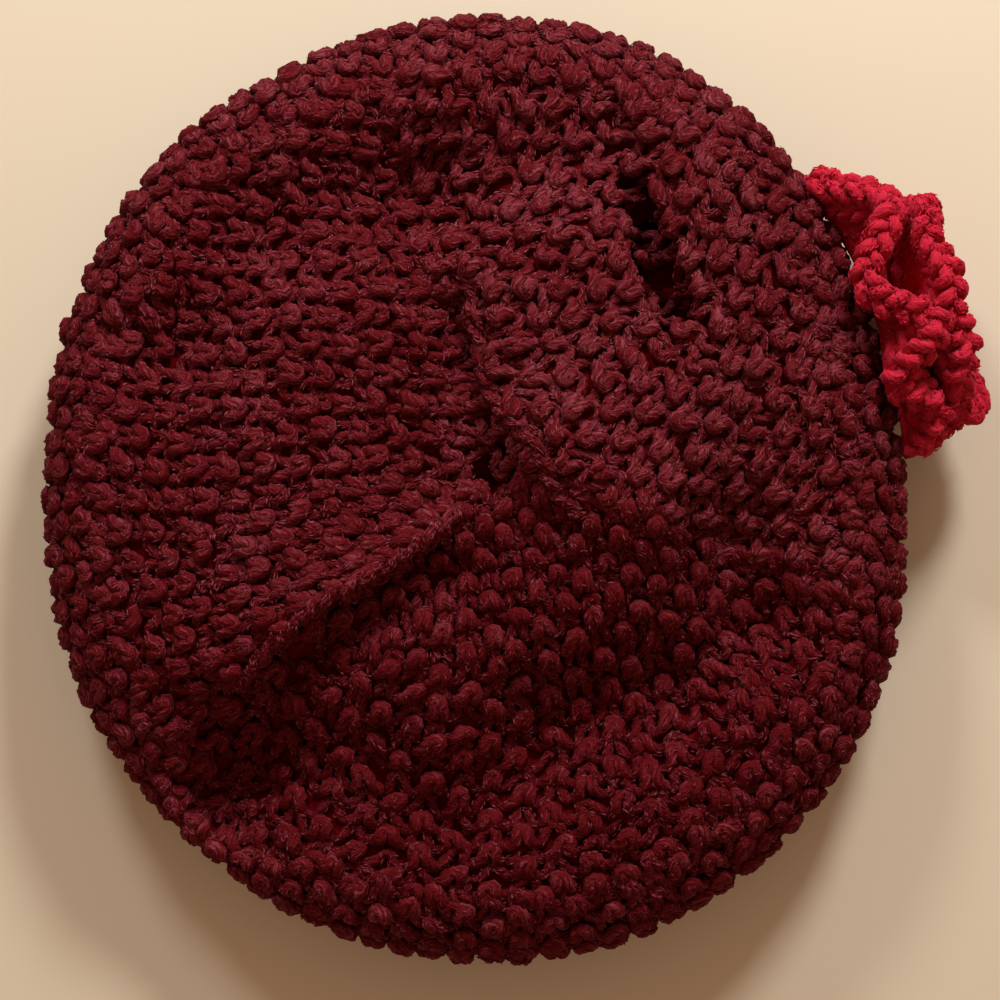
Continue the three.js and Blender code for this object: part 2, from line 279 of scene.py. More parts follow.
def buildYarnTree():
    tree = bpy.data.node_groups.new("yarnAlongPath", "GeometryNodeTree")
    tree.is_modifier = True
    tree.interface.new_socket("Paths", in_out="INPUT", socket_type="NodeSocketGeometry")
    kinds = {"Yarn radius": "Float", "Sides": "Int", "Ply depth": "Float", "Plies": "Float",
             "Unevenness": "Float", "Yarn": "Material"}
    sockets = {name: tree.interface.new_socket(name, in_out="INPUT", socket_type="NodeSocket" + kind)
               for name, kind in kinds.items()}
    tree.interface.new_socket("Tubes", in_out="OUTPUT", socket_type="NodeSocketGeometry")
    node, calc = nodeMaker(tree)

    def attribute(name):
        return node("GeometryNodeInputNamedAttribute", {"Name": name}, data_type="FLOAT").outputs["Attribute"]

    given = node("NodeGroupInput").outputs
    thickness = calc("MULTIPLY", attribute("fat"), given["Yarn radius"])
    path = node("GeometryNodeMeshToCurve", {"Mesh": given["Paths"]}).outputs["Curve"]
    path = node("GeometryNodeSetCurveTilt", {"Curve": path, "Tilt": attribute("turn")}).outputs["Curve"]
    path = node("GeometryNodeSetCurveRadius", {"Curve": path, "Radius": thickness}).outputs["Curve"]

    # profile with rounded plies, left open so that the map has a clean seam
    arc = node("GeometryNodeCurveArc", {"Resolution": calc("ADD", given["Sides"], 1), "Radius": 1,
                                        "Sweep Angle": fullTurn}, mode="RADIUS")
    caught = node("GeometryNodeCaptureAttribute", {"Geometry": arc.outputs["Curve"]})
    caught.capture_items.new("FLOAT", "around")
    tree.links.new(node("GeometryNodeSplineParameter").outputs["Factor"], caught.inputs["around"])
    around = caught.outputs["around"]
    wave = calc("COSINE", calc("MULTIPLY", calc("MULTIPLY", around, fullTurn), given["Plies"]))
    size = calc("ADD", calc("MULTIPLY", wave, given["Ply depth"]), 1)
    position = node("GeometryNodeInputPosition").outputs[0]
    scaled = node("ShaderNodeVectorMath", {0: position, "Scale": size}, operation="SCALE").outputs[0]
    profile = node("GeometryNodeSetPosition", {"Geometry": caught.outputs["Geometry"], "Position": scaled})
    tube = node("GeometryNodeCurveToMesh", {"Curve": path, "Profile Curve": profile.outputs["Geometry"]})
    if "Scale" in tube.inputs:
        tree.links.new(thickness, tube.inputs["Scale"])

    # two maps: yarn length and way round for the material, and flat strips for baking
    last = tube.outputs["Mesh"]
    strip = calc("ADD", calc("MULTIPLY", around, attribute("stripTall")), attribute("stripStart"))
    maps = {"yarn": (attribute("along"), around), "OFBake": (attribute("stripAlong"), strip)}
    for name, (across, up) in maps.items():
        pair = node("ShaderNodeCombineXYZ", {"X": across, "Y": up}).outputs[0]
        last = node("GeometryNodeStoreNamedAttribute", {"Geometry": last, "Name": name, "Value": pair},
                    data_type="FLOAT2", domain="CORNER").outputs["Geometry"]
    last = node("GeometryNodeMergeByDistance", {"Geometry": last, "Distance": yarn["weld"]}).outputs[0]

    # spun by hand: the surface bulges and thins a little
    bulge = node("ShaderNodeTexNoise", {"Scale": yarn["bulgeScale"], "Detail": yarn["bulgeDetail"]})
    amount = calc("MULTIPLY", calc("SUBTRACT", bulge.outputs[0], 0.5), given["Unevenness"])
    normal = node("GeometryNodeInputNormal").outputs[0]
    push = node("ShaderNodeVectorMath", {0: normal, "Scale": amount}, operation="SCALE").outputs[0]
    last = node("GeometryNodeSetPosition", {"Geometry": last, "Offset": push}).outputs["Geometry"]
    last = node("GeometryNodeSetShadeSmooth", {"Geometry": last}).outputs["Geometry"]
    last = node("GeometryNodeRealizeInstances", {"Geometry": last}).outputs["Geometry"]
    last = node("GeometryNodeSetMaterial", {"Geometry": last, "Material": given["Yarn"]}).outputs["Geometry"]
    node("NodeGroupOutput", {"Tubes": last})
    return tree, {name: socket.identifier for name, socket in sockets.items()}


yarnTree, yarnSocket = buildYarnTree()


def makeYarn(name, bundle, radius, sides, lead, material, plies=3, plyDepth=0.1, uneven=1.5):
    runs = [lengths(points) for points in bundle["points"]]
    counts = [len(run) for run in runs]
    along = np.concatenate(runs)
    places, shelves, longest = bakeStrips(runs)
    shelf, used = (np.repeat(column, counts) for column in zip(*places))
    columns = {
        "fat": np.concatenate(bundle["fat"]), "tone": np.concatenate(bundle["tone"]),
        "along": along, "turn": along * fullTurn / lead,
        "stripAlong": (along + used) / longest, "stripStart": (shelf + yarn["mapEdge"]) / shelves,
        "stripTall": np.full(len(along), (1 - 2 * yarn["mapEdge"]) / shelves),
    }
    points = (np.vstack(bundle["points"]) + shift) * mm
    steps = np.setdiff1d(np.arange(len(along)), np.cumsum(counts) - 1)
    lines = bpy.data.meshes.new(name + "Paths")
    lines.from_pydata(points.tolist(), np.stack([steps, steps + 1], -1).tolist(), [])
    for key, values in columns.items():
        layer = lines.attributes.new(key, "FLOAT", "POINT")
        layer.data.foreach_set("value", values.astype(np.float32))
    source = newObject(name + "Paths", lines)
    worker = source.modifiers.new("yarn", "NODES")
    worker.node_group = yarnTree
    for key, value in (("Yarn radius", radius * mm), ("Sides", sides), ("Ply depth", plyDepth),
                       ("Plies", float(plies)), ("Unevenness", uneven * mm), ("Yarn", material)):
        worker[yarnSocket[key]] = value
    graph = bpy.context.evaluated_depsgraph_get()
    graph.update()
    mesh = bpy.data.meshes.new_from_object(source.evaluated_get(graph))
    bpy.data.objects.remove(source)
    bpy.data.meshes.remove(lines)
    mesh.name = name
    for key in columns:
        if key != "tone" and key in mesh.attributes:
            mesh.attributes.remove(mesh.attributes[key])
    piece = newObject(name, mesh)
    mesh.calc_loop_triangles()
    print(name, "made:", len(bundle["points"]), "strands,", len(mesh.loop_triangles), "triangles")
    return piece


# loose fibres: sizes in mm, leans in degrees
fibres = {
    "long": (2.0, 4.2), "wide": (0.22, 0.4), "rise": 0.3, "sink": 0.25,
    "lean": 20, "looseLean": 20, "stray": 0.14, "round": 78,
}


def addFibres(bundle, points, out, radius, count):
    # short fibres on the outer side of the yarn: both ends, then three corners of the thick middle
    spots = draw.randint(2, len(points) - 2, count)
    ahead = unit(np.gradient(points, axis=0))[spots]
    out = unit(out[spots] - ahead * (out[spots] * ahead).sum(1)[:, None])
    around = np.radians(draw.uniform(-fibres["round"], fibres["round"], count))[:, None]
    away = np.cos(around) * out + np.sin(around) * np.cross(ahead, out)
    lean = np.radians(draw.normal(fibres["lean"], fibres["looseLean"], count))[:, None]
    stray = draw.normal(0, fibres["stray"], count)[:, None]
    along = unit(np.cos(lean) * ahead + np.sin(lean) * np.cross(away, ahead) + stray * away)
    across = unit(np.cross(along, away))
    half = draw.uniform(*fibres["long"], count)[:, None] / 2
    wide = draw.uniform(*fibres["wide"], count)[:, None]
    middle = points[spots] + away * radius
    low = middle - away * fibres["sink"]
    bundle.append(np.stack([low - along * half, low + along * half, middle + away * fibres["rise"],
                            low + across * wide, low - across * wide], 1))


def fibrePiece(name, bundle, material):
    points = (np.vstack(bundle) + shift) * mm
    count = len(points)
    faces, places = [], []
    for side in range(3):
        here, after = 2 + side, 2 + (side + 1) % 3
        faces += [(here, after, 1), (after, here, 0)]
        low, mid, high = side / 3, (side + 0.5) / 3, (side + 1) / 3
        places += [(0.5, low), (0.5, high), (1, mid), (0.5, high), (0.5, low), (0, mid)]
    mesh = bpy.data.meshes.new(name)
    corners = np.arange(count)[:, None, None] * 5 + np.array(faces)
    mesh.from_pydata(points.reshape(-1, 3).tolist(), [], corners.reshape(-1, 3).tolist())
    mesh.polygons.foreach_set("use_smooth", [True] * len(mesh.polygons))
    # flat map: a square for each fibre
    squares = math.ceil(math.sqrt(count))
    corner = np.stack([np.arange(count) % squares, np.arange(count) // squares], -1)[:, None]
    flat = (corner + yarn["mapEdge"] + (1 - 2 * yarn["mapEdge"]) * np.array(places)) / squares
    mesh.uv_layers.new(name="OFBake").data.foreach_set("uv", flat.astype(np.float32).ravel())
    mesh.materials.append(material)
    piece = newObject(name, mesh)
    print(name, "made:", count, "fibres,", len(mesh.polygons), "triangles")
    return piece


def shellPiece(name, sheets, material, closedPole):
    # two sheets of points, front then back, both going the same way round
    front, back = sheets
    rows, columns = front.shape[:2]
    other, last, faces = rows * columns, (rows - 1) * columns, []
    pairs = [(column, (column + 1) % columns) for column in range(columns)]
    for start in range(0, last, columns):
        for here, after in pairs:
            ring = [start + here, start + after, start + columns + after, start + columns + here]
            faces += [ring, [other + place for place in reversed(ring)]]
    faces += [[after, here, other + here, other + after] for here, after in pairs]
    if closedPole:
        pole = list(range(last, other))
        faces += [pole, [other + place for place in reversed(pole)]]
    else:
        faces += [[last + here, last + after, other + last + after, other + last + here]
                  for here, after in pairs]
    points = np.concatenate([front.reshape(-1, 3), back.reshape(-1, 3)])
    mesh = bpy.data.meshes.new(name)
    mesh.from_pydata(((points + shift) * mm).tolist(), [], faces)
    mesh.polygons.foreach_set("use_smooth", [True] * len(mesh.polygons))
    mesh.materials.append(material)
    return newObject(name, mesh)


def placePiece(piece, node):
    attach(piece, "root")
    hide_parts(node)


# yarn materials

def startMaterial(name):
    # a new material, its shader and its link function
    material = bpy.data.materials.new(name)
    material.use_nodes = True
    return material, material.node_tree.nodes["Principled BSDF"], material.node_tree.links.new


def makeYarnMaterial(name, look):
    material, shader, link = startMaterial(name)
    node, calc = nodeMaker(material.node_tree)

    def remap(value, low, high, toLow, toHigh):
        return node("ShaderNodeMapRange", enumerate((value, low, high, toLow, toHigh))).outputs[0]

    def noise(place, scale, detail, **more):
        inputs = {"Vector": place, "Scale": scale, "Detail": detail, **more}
        return node("ShaderNodeTexNoise", inputs).outputs["Fac"]

    place = node("ShaderNodeUVMap", uv_map="yarn").outputs["UV"]
    around = node("ShaderNodeSeparateXYZ", {"Vector": place}).outputs["Y"]
    inSpace = node("ShaderNodeTexCoord").outputs["Object"]
    tone = node("ShaderNodeAttribute", attribute_name="tone").outputs["Fac"]
    # fibres run along the yarn and wind slightly round it
    stretched = node("ShaderNodeMapping",
                     {"Vector": place, "Scale": (look["fibreAlong"], look["fibreRound"], 1)})
    fibre = noise(stretched.outputs[0], 1, 3, Roughness=0.6)
    # painted shade in the grooves between the plies, clear in some patches and faint in others
    patchy = node("ShaderNodeMapping", {"Vector": place, "Scale": (0.45, 4, 1)})
    patches = noise(patchy.outputs[0], 1, 2)
    wound = calc("MULTIPLY", calc("MULTIPLY_ADD", patches, 0.3, around), fullTurn * look["plies"])
    crest = calc("MULTIPLY", calc("COSINE", wound), remap(patches, 0.4, 0.62, 0.1, 1))
    groove = remap(crest, -1, 0.4, look["grooveShade"], 1)
    # colour from fibres, soft clouds and the tone attribute: a random tone for each strand, with painted
    # shade on deep yarn and painted light and shade by third of the crown
    cloud = noise(inSpace, look["cloudScale"], 2)
    mixed = calc("MULTIPLY_ADD", cloud, 0.35, calc("MULTIPLY_ADD", fibre, 1.5, -0.47))
    ramp = node("ShaderNodeValToRGB", {"Fac": calc("ADD", mixed, tone)})
    stops = ramp.color_ramp.elements
    stops[0].position, stops[0].color = 0.25, (*look["dark"], 1)
    stops[1].position, stops[1].color = 0.78, (*look["bright"], 1)
    middle = stops.new(0.48)
    middle.color = (*look["middle"], 1)
    shaded = node("ShaderNodeMix", {0: 1.0, 6: ramp.outputs["Color"], 7: groove},
                  data_type="RGBA", blend_type="MULTIPLY")
    link(shaded.outputs[2], shader.inputs["Base Color"])
    # fluff, plies and fibres in the bump
    ridge = calc("MULTIPLY_ADD", noise(inSpace, 1300, 3), 0.8, calc("MULTIPLY_ADD", crest, 0.25, fibre))
    bump = node("ShaderNodeBump", {"Height": ridge, "Strength": look["bump"], "Distance": 0.0006})
    link(bump.outputs["Normal"], shader.inputs["Normal"])
    link(remap(fibre, 0, 1, *look["rough"]), shader.inputs["Roughness"])
    shader.inputs["Specular IOR Level"].default_value = look["shine"]
    shader.inputs["Specular Tint"].default_value = (*look["shineTint"], 1)
    shader.inputs["Subsurface Weight"].default_value = look["glow"]
    shader.inputs["Subsurface Radius"].default_value = (1, 0.25, 0.3)
    shader.inputs["Subsurface Scale"].default_value = 0.0012
    shader.inputs["Sheen Weight"].default_value = look["sheen"]
    shader.inputs["Sheen Roughness"].default_value = 0.5
    shader.inputs["Sheen Tint"].default_value = (*look["sheenTint"], 1)
    return material


burgundyYarn = makeYarnMaterial("burgundyYarn", {
    "dark": (0.088, 0.0014, 0.0028), "middle": (0.12, 0.0045, 0.0082), "bright": (0.24, 0.046, 0.061),
    "plies": 5, "grooveShade": 0.6, "fibreAlong": 0.3, "fibreRound": 15, "cloudScale": 60,
    "bump": 1.0, "rough": (0.65, 0.9), "shine": 0.1, "shineTint": (1, 0.7, 0.75),
    "sheen": 0.0, "sheenTint": (1, 0.6, 0.6), "glow": 0.0,
})
redYarn = makeYarnMaterial("redYarn", {
    "dark": (0.47, 0.008, 0.024), "middle": (0.5, 0.014, 0.038), "bright": (0.53, 0.026, 0.06),
    "plies": 5, "grooveShade": 0.75, "fibreAlong": 0.3, "fibreRound": 15, "cloudScale": 70,
    "bump": 0.9, "rough": (0.72, 0.92), "shine": 0.14, "shineTint": (1, 0.5, 0.55),
    "sheen": 0.05, "sheenTint": (1, 0.4, 0.45), "glow": 0.4,
})


def makeFuzzMaterial(name, colors, scale, stops=(0, 1)):
    # matted ground between the strands, and loose fibres on them
    material, shader, link = startMaterial(name)
    node, _ = nodeMaker(material.node_tree)
    place = node("ShaderNodeTexCoord").outputs["Object"]
    noise = node("ShaderNodeTexNoise", {"Vector": place, "Scale": scale, "Detail": 4}).outputs["Fac"]
    ramp = node("ShaderNodeValToRGB", {"Fac": noise})
    for element, stop, color in zip(ramp.color_ramp.elements, stops, colors):
        element.position, element.color = stop, (*color, 1)
    bump = node("ShaderNodeBump", {"Height": noise, "Strength": 0.6, "Distance": 0.001})
    link(ramp.outputs["Color"], shader.inputs["Base Color"])
    link(bump.outputs["Normal"], shader.inputs["Normal"])
    shader.inputs["Roughness"].default_value = 0.95
    shader.inputs["Specular IOR Level"].default_value = 0.02
    return material


fibreLook = {"scale": 420, "stops": (0.36, 0.68)}
burgundyTones = ((0.095, 0.0023, 0.0046), (0.245, 0.054, 0.07))
burgundyFibres = {}
# lit and shaded copies of the fibre colours: painted shade on the front third, painted light on the right
# third
for name, shade in (("Left", 1), ("Front", 0.86), ("Right", 1.1), ("Roll", 1)):
    shaded = [[part * shade for part in color] for color in burgundyTones]
    burgundyFibres[name] = makeFuzzMaterial("burgundyFibre" + name, shaded, **fibreLook)
redFibre = makeFuzzMaterial("redFibre", ((0.47, 0.009, 0.026), (0.54, 0.03, 0.065)), **fibreLook)
burgundyFuzz = makeFuzzMaterial("burgundyFuzz", ((0.07, 0.0011, 0.0022), (0.12, 0.0023, 0.0044)), 900)
redFuzz = makeFuzzMaterial("redFuzz", ((0.42, 0.005, 0.016), (0.54, 0.009, 0.028)), 900)
print("yarn materials made")


# the crown's seed stitch

knit = {
    "rowRise": 5.2, "apart": 8.7, "fanAt": 80,   # mm from row to row, from stitch to stitch, and where so
    "depth": 2.2,                                # middle of the fabric under the outside
    # loops behind and in front: height in rows, lean and pinch in stitches
    "tall": (0.5, 0.42), "lean": (0.05, 0.1), "pinch": (0.02, 0.1), "legAt": 0.22,
    "frontLift": 1.0, "backSink": 0.9, "linkSink": 1.6, "headSink": 0.15,
    "loose": {"across": 0.1, "tall": 0.25, "rise": 0.14, "deep": 0.4, "lean": 0.1},
    # tone and thickness of deep and of high yarn: the tone is painted shade, deep yarn a little darker than
    # high yarn
    "tone": (-0.01, 0.02), "toneFade": (-1.8, 0.9), "looseTone": 0.03,
    "swell": (0.96, 1.14), "swellFade": (-1.3, 1),
    "yarnRadius": 1.8, "yarnLead": 17, "plies": 4, "plyDepth": 0.08, "taper": 6,
    "perStitch": 12, "sides": 7, "fibresPerStitch": 17,
    # rounds of the roll, and below it with fewer faces; grooveRoom is kept clear under the roll
    "rollStitches": 96, "ringReach": 0.86, "upperBelow": 2, "bandRoom": 2.5, "grooveRoom": (1, 2),
    "underStitches": 78, "underPerStitch": 7, "underSides": 6,
    # rows of the thirds: first and last place, how they wander, draw together and tuck in at their ends
    "firstRow": 8, "lastRow": 1, "widest": 16, "wander": (1.6, 17, 19), "drawLength": 100,
    "lineOver": 4, "lineTuck": 0.8, "lineFade": (-3, 2.5), "drawnIn": (0.42, 0.56),
    "ringOver": 7, "ringTuck": 1.5, "ringFade": (-4, 2),
    # lines where the crown is drawn in, in degrees: near the middle and near the roll
    "lines": {"upper": (97, 103), "left": (224, 220), "right": (352, 345), "upperAgain": (457, 463)},
    "lineBend": (0.15, 0.6),
    # thirds of the crown: straight line of stitches, how much they draw together on each side near the
    # middle, how far behind the middle their lines would meet, and their tone: painted shade on the front
    # third and painted light on the right third, for how the lamps fall on them
    "thirds": {
        "Left": {"from": "upper", "to": "left", "straight": 180, "draw": (0, 0.5), "fan": 900, "tone": 0.0},
        "Front": {"from": "left", "to": "right", "straight": 270, "draw": (0, 0), "fan": 120, "tone": -0.08},
        "Right": {"from": "right", "to": "upperAgain", "straight": 416, "draw": (0, 0), "fan": 900,
                  "tone": 0.05},
    },
}


def lineAngle(name, reach):
    return np.radians(between(knit["lines"][name], smooth(*knit["lineBend"], reach)))


def alongAt(reach):
    # way up the section to a reach on the crown's top
    return np.interp(-reach, -reachAt(sectionAlong[rollRow:]), sectionAlong[rollRow:])


def thirdPlace(third, across, ahead):
    # straight rows of a third: stitches from its middle line, and mm ahead of the crown's middle
    straight = math.radians(third["straight"])
    near = 1 - np.clip(ahead / knit["drawLength"], 0, 1)
    closing = np.where(across < 0, third["draw"][0], third["draw"][1]) * near
    side = knit["apart"] * across * (1 - closing)
    turn, far = side / (third["fan"] + knit["fanAt"]), ahead + third["fan"]
    side, ahead = far * np.sin(turn), far * np.cos(turn) - third["fan"]
    wander, overRows, overStitches = knit["wander"]
    side, ahead = (side + wander * np.sin(ahead / overRows + straight),
                   ahead + wander * np.sin(side / overStitches + 2 * straight))
    apart, far = np.arctan2(side, ahead), np.hypot(side, ahead)
    reach = far / outlineReach(straight + apart)
    span = np.where(apart < 0, straight - lineAngle(third["from"], reach),
                    lineAngle(third["to"], reach) - straight)
    lineRoom = (span - np.abs(apart)) * far
    ringRoom = (knit["ringReach"] - reach) * crown["meanReach"]
    return straight + apart, alongAt(reach), lineRoom, ringRoom


def seedLoops(first, last, perStitch, row):
    # one row of seed stitch: stitch place, rise and depth along the yarn
    place = np.arange(first, last + 0.5 / perStitch, 1 / perStitch)
    swing, side = fullTurn * (place - 0.5), math.pi * (place - 0.5 + row)
    marks = np.arange(math.floor(first) - 1, math.ceil(last) + 2) + 0.5
    loose = {key: share * np.interp(place, marks, draw.normal(0, 1, len(marks)))
             for key, share in knit["loose"].items()}
    # each loop is two legs close together, high in front or lower behind; links between loops lie deep
    front = np.maximum(0, np.cos(side)) ** 0.5
    lean, pinch, tall = (between(knit[key], front) for key in ("lean", "pinch", "tall"))
    across = place + lean * np.sin(2 * swing) - pinch * np.sin(swing)
    across += loose["across"] + loose["lean"] * np.cos(swing)
    rise = tall * np.cos(swing) * (1 + loose["tall"]) + loose["rise"]
    apart, legAt = np.abs(place % 1 - 0.5), knit["legAt"]
    head = 1 - knit["headSink"] * (1 - (apart / legAt) ** 2)
    lump = np.where(apart < legAt, head, 1 - ((apart - legAt) / (0.5 - legAt)) ** 2)
    top = np.where(np.cos(side) > 0, knit["frontLift"], -knit["backSink"])
    deep = (top + knit["linkSink"]) * lump - knit["linkSink"] + loose["deep"]
    return across, knit["rowRise"] * rise, deep


def depthShadeAndTone(deep):
    # painted shade: yarn that lies deep is a little darker; each strand also gets a random tone
    return between(knit["tone"], smooth(*knit["toneFade"], deep)) + draw.normal(0, knit["looseTone"])


def bumpSwell(deep):
    return between(knit["swell"], smooth(*knit["swellFade"], deep))


def knitThird(name, ahead, row):
    third = knit["thirds"][name]
    across, rise, deep = seedLoops(-knit["widest"], knit["widest"], knit["perStitch"], row)
    angle, along, lineRoom, ringRoom = thirdPlace(third, across, ahead - rise)
    inside = np.nonzero((lineRoom > -knit["lineOver"]) & (ringRoom > -knit["ringOver"]))[0]
    if len(inside) < knit["perStitch"]:
        return
    kept = slice(inside[0], inside[-1] + 1)
    along, deep, lineRoom, ringRoom = (values[kept] for values in (along, deep, lineRoom, ringRoom))
    point, out = crownFrame(angle[kept], along)
    drawn = 1 - smooth(*knit["drawnIn"], reachAt(along))
    tuck = (knit["lineTuck"] + drawn) * (1 - smooth(*knit["lineFade"], lineRoom))
    tuck += knit["ringTuck"] * (1 - smooth(*knit["ringFade"], ringRoom))
    path = point + out * (deep - knit["depth"] - tuck)[:, None]
    # tone with painted shade on deep yarn and the third's painted light or shade
    addPath(bundles[name], path, depthShadeAndTone(deep) + third["tone"], knit["taper"], bumpSwell(deep))
    addFibres(fibreBundles[name], path, out, knit["yarnRadius"],
              int(knit["fibresPerStitch"] * len(path) / knit["perStitch"]))


def knitRing(bundle, stitches, perStitch, rowAlong, row, fuzzy=False):
    # a whole round in three lengths
    part = stitches // 3
    for start in range(0, stitches, part):
        across, rise, deep = seedLoops(start, start + part, perStitch, row)
        point, out = crownFrame(across * fullTurn / stitches, rowAlong + rise)
        path = point + out * (deep - knit["depth"])[:, None]
        # tone with painted shade on deep yarn
        addPath(bundle, path, depthShadeAndTone(deep), 0, bumpSwell(deep))
        if fuzzy:
            addFibres(fibreBundles["Roll"], path, out, knit["yarnRadius"], knit["fibresPerStitch"] * part)


fibreBundles = {name: [] for name in ("Left", "Front", "Right", "Roll")}
bundles = {name: newBundle() for name in ("Left", "Front", "Right", "RollUpper", "RollLower", "Under")}
innerRoom, outerRoom = knit["grooveRoom"]
ringTop = alongAt(knit["ringReach"])
for row, rowAlong in enumerate(np.arange(ringTop, lowestAlong + outerRoom, -knit["rowRise"])):
    if rowAlong > rollAlong - knit["upperBelow"]:
        knitRing(bundles["RollUpper"], knit["rollStitches"], knit["perStitch"], rowAlong, row, fuzzy=True)
    else:
        knitRing(bundles["RollLower"], knit["rollStitches"], knit["underPerStitch"], rowAlong, row)
for row, rowAlong in enumerate(np.arange(knit["bandRoom"], lowestAlong - innerRoom, knit["rowRise"])):
    knitRing(bundles["Under"], knit["underStitches"], knit["underPerStitch"], rowAlong, row)
for name, third in knit["thirds"].items():
    furthest = knit["ringReach"] * outlineReach(np.array([math.radians(third["straight"])]))[0]
    for row, ahead in enumerate(np.arange(furthest + knit["firstRow"], knit["lastRow"], -knit["rowRise"])):
        knitThird(name, ahead, row)
for name, bundle in bundles.items():
    sides = knit["underSides" if name in ("RollLower", "Under") else "sides"]
    piece = makeYarn("crownKnit" + name, bundle, knit["yarnRadius"], sides, knit["yarnLead"], burgundyYarn,
                     plies=knit["plies"], plyDepth=knit["plyDepth"])
    placePiece(piece, "crown")


# matted ground of the crown's knit, which closes the gaps between strands

ground = {
    "around": 160, "underSteps": 26, "topSteps": 80, "ends": (2, 3),
    "front": 2.0, "back": 3.3,      # mm under the middle of the fabric
    # it gives way where the deep slit and the eye in the middle open: depth and width
    "yields": {"slit neck": (7, 6), "middle eye": (7, 5)},
}


def groundSheets():
    first, last = ground["ends"]
    under = np.linspace(first, rollAlong, ground["underSteps"])
    top = np.linspace(rollAlong, middleAlong - last, ground["topSteps"])[1:]
    angleGrid, alongGrid = np.meshgrid(roundSteps(ground["around"]), np.concatenate([under, top]))
    point, out = crownFrame(angleGrid, alongGrid)
    yielding = np.zeros_like(alongGrid)
    for fold, (deep, wide) in ground["yields"].items():
        apart = apartFromLine(point[..., 0], point[..., 1], crown["folds"][fold][:4])
        yielding += np.where(alongGrid > rollAlong, deep * np.exp(-(apart / wide) ** 2), 0)
    return [point - out * (knit["depth"] + ground[side] + yielding)[..., None] for side in ("front", "back")]


placePiece(shellPiece("crownCore", groundSheets(), burgundyFuzz, True), "crown")
print("crown's ground made")


# raised cords where the thirds meet, two strands wound together

cords = {
    "radius": 1.45, "wind": 1.15, "lead": 13, "sides": 9,
    "spacing": 1.3, "endFade": 8, "endSink": 3, "fibresPerPoint": 3,
    # lift over the knit, and places in plan
    "runs": {
        "left": (-1.0, [(-4, -4), (-8, -11), (-23, -23), (-44, -35), (-61, -51), (-72, -64)]),
        "upper": (-1.0, [(-4, 56), (-1, 44), (1, 31), (6, 20), (15, 11), (19, 2), (24, -6), (33, -14)]),
    },
}


def topPoint(x, y):
    # point and outward direction of the crown's top over a place in plan
    angle = np.arctan2(y, x)
    return crownFrame(angle, alongAt(np.hypot(x, y) / outlineReach(angle)))


def woundStrands(bundle, center, out, wind, lead, tone, strands=2, taper=6):
    ahead = unit(np.gradient(center, axis=0))
    side = unit(np.cross(ahead, out))
    turn = lengths(center) * fullTurn / lead
    for strand in range(strands):
        phase = turn + fullTurn * strand / strands
        points = center + side * (wind * np.cos(phase))[:, None] + out * (wind * np.sin(phase))[:, None]
        addPath(bundle, points, tone, taper)


cordBundle = newBundle()
for lift, run in cords["runs"].values():
    line = smoothLine(run, 24)
    along = lengths(line)
    spaced = np.arange(0, along[-1], cords["spacing"])
    x, y = (np.interp(spaced, along, line[:, axis]) for axis in (0, 1))
    point, out = topPoint(x, y)
    ends = smooth(0, cords["endFade"], spaced) * smooth(0, cords["endFade"], spaced[-1] - spaced)
    center = point + out * (lift - cords["endSink"] * (1 - ends))[:, None]
    woundStrands(cordBundle, center, out, cords["wind"], cords["lead"], 0.0)
    for strand in cordBundle["points"][-2:]:
        count = cords["fibresPerPoint"] * len(out)
        addFibres(fibreBundles["Left"], strand[1:-1], out, cords["radius"], count)
for name, bundle in fibreBundles.items():
    placePiece(fibrePiece("crownFibres" + name, bundle, burgundyFibres[name]), "crown")
cordPiece = makeYarn("crownCords", cordBundle, cords["radius"], cords["sides"], knit["yarnLead"],
                     burgundyYarn)
placePiece(cordPiece, "crown")


# band in plain rib under the crown

band = {
    "height": 20, "reach": 0.62, "wall": 6, "stitches": 72, "partStitches": 24, "rows": 4,
    "perStitch": 7, "sides": 6, "yarnRadius": 1.6, "looseTone": 0.02,
    "ribDepth": 0.9, "loopDepth": 0.75, "loopTall": 0.62, "loopLean": 0.1,
    "floorRoom": 0.7, "crownRoom": 1,       # mm that the yarn keeps clear below and above
    "ground": (2.6, 3.6), "groundEdge": 0.4, "groundAround": 96, "groundSteps": 8,
}


def bandFrame(angle, height):
    def point(turned):
        out = band["reach"] * outlineReach(turned)
        return np.stack([out * np.cos(turned), out * np.sin(turned), height], -1)
    turn = 0.01
    sideways = point(angle + turn) - point(angle - turn)
    return point(angle), unit(np.cross(sideways, np.array([0.0, 0.0, 1.0])))


bandBundle = newBundle()
rowTall = band["height"] / band["rows"]
for row in range(band["rows"]):
    for start in range(0, band["stitches"], band["partStitches"]):
        stop = start + band["partStitches"] + 0.5 / band["perStitch"]
        place = np.arange(start, stop, 1 / band["perStitch"])
        swing, rib = fullTurn * (place - 0.5), np.cos(math.pi * (place - 0.5))
        loop = np.cos(2 * swing) * np.sign(rib) * np.abs(rib) ** 0.5
        deep = band["ribDepth"] * rib - band["loopDepth"] * loop
        height = (row + 0.5) * rowTall + rowTall * band["loopTall"] * np.cos(swing)
        height = np.clip(height, band["yarnRadius"] + band["floorRoom"], band["height"] - band["crownRoom"])
        across = place + band["loopLean"] * np.sin(2 * swing)
        point, out = bandFrame(across * fullTurn / band["stitches"], height)
        path = point + out * (deep - band["wall"] / 2)[:, None]
        addPath(bandBundle, path, draw.normal(0, band["looseTone"]))
bandPiece = makeYarn("bandKnit", bandBundle, band["yarnRadius"], band["sides"], knit["yarnLead"],
                     burgundyYarn)
placePiece(bandPiece, "brim_band")
heights = np.linspace(band["groundEdge"], band["height"] - band["groundEdge"], band["groundSteps"])
point, out = bandFrame(*np.meshgrid(roundSteps(band["groundAround"]), heights))
bandCore = shellPiece("bandCore", [point - out * depth for depth in band["ground"]], burgundyFuzz, False)
placePiece(bandCore, "brim_band")


# crochet flower on the side of the crown

